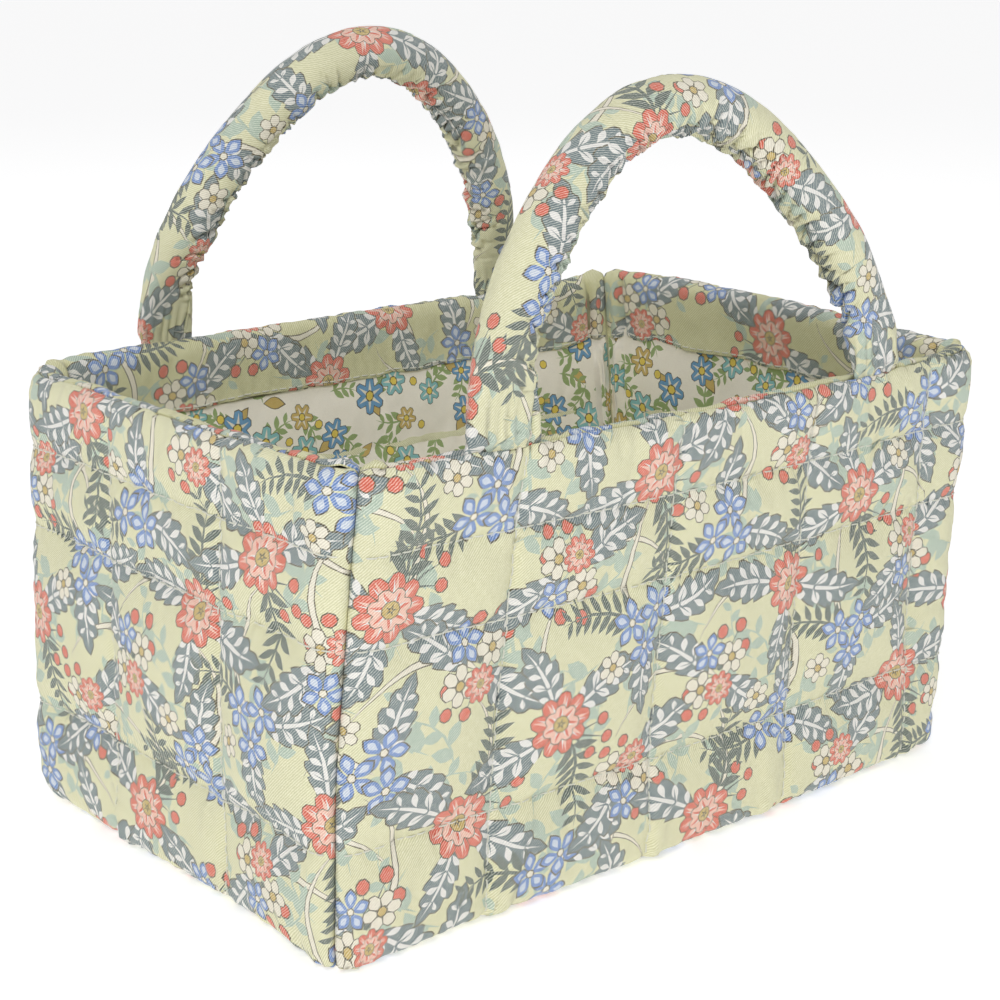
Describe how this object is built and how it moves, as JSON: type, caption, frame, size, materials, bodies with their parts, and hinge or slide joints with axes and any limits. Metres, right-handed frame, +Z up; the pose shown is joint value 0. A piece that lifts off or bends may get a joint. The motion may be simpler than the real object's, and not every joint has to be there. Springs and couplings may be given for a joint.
{
  "type": "quilted fabric storage basket",
  "caption": "Soft quilted rectangular storage basket in floral print cloth, with cotton lining, padded rolled rim and two stuffed carrying handles.",
  "frame": {"origin": "middle of the underside, on the surface that the basket stands on", "axes": "+Z up out of the basket's mouth, +X along the long sides, +Y from the front long side to the back one"},
  "size_m": [0.3002, 0.219, 0.2721],
  "materials": {
    "printed_cloth": "printed cotton twill, matt",
    "facing_cloth": "printed cotton twill, matt",
    "lining_cloth": "printed plain-weave cotton, matt",
    "handle_cloth": "printed cotton twill, gathered",
    "wadding": "polyester wadding"
  },
  "bodies": {
    "basket": {"front_outer_panel": "printed_cloth", "right_outer_panel": "printed_cloth", "back_outer_panel": "printed_cloth", "left_outer_panel": "printed_cloth", "base_outer_panel": "printed_cloth", "front_rim_facing": "facing_cloth", "right_rim_facing": "facing_cloth", "back_rim_facing": "facing_cloth", "left_rim_facing": "facing_cloth", "front_lining": "lining_cloth", "right_lining": "lining_cloth", "back_lining": "lining_cloth", "left_lining": "lining_cloth", "base_lining": "lining_cloth", "front_wadding": "wadding", "right_wadding": "wadding", "back_wadding": "wadding", "left_wadding": "wadding", "base_wadding": "wadding"},
    "front_handle": {"front_handle_cover": "handle_cloth", "front_handle_core": "wadding"},
    "back_handle": {"back_handle_cover": "handle_cloth", "back_handle_core": "wadding"}
  },
  "joints": [
    {"name": "front_handle_fold", "type": "hinge", "parent": "basket", "child": "front_handle", "pos_m": [-0.004, -0.10503, 0.16273], "axis": [1, 0, 0], "range_deg": [-60, 135], "stiffness_Nm_per_rad": 0.05},
    {"name": "back_handle_fold", "type": "hinge", "parent": "basket", "child": "back_handle", "pos_m": [-0.001, 0.10526, 0.16273], "axis": [-1, 0, 0], "range_deg": [-60, 135], "stiffness_Nm_per_rad": 0.05}
  ]
}
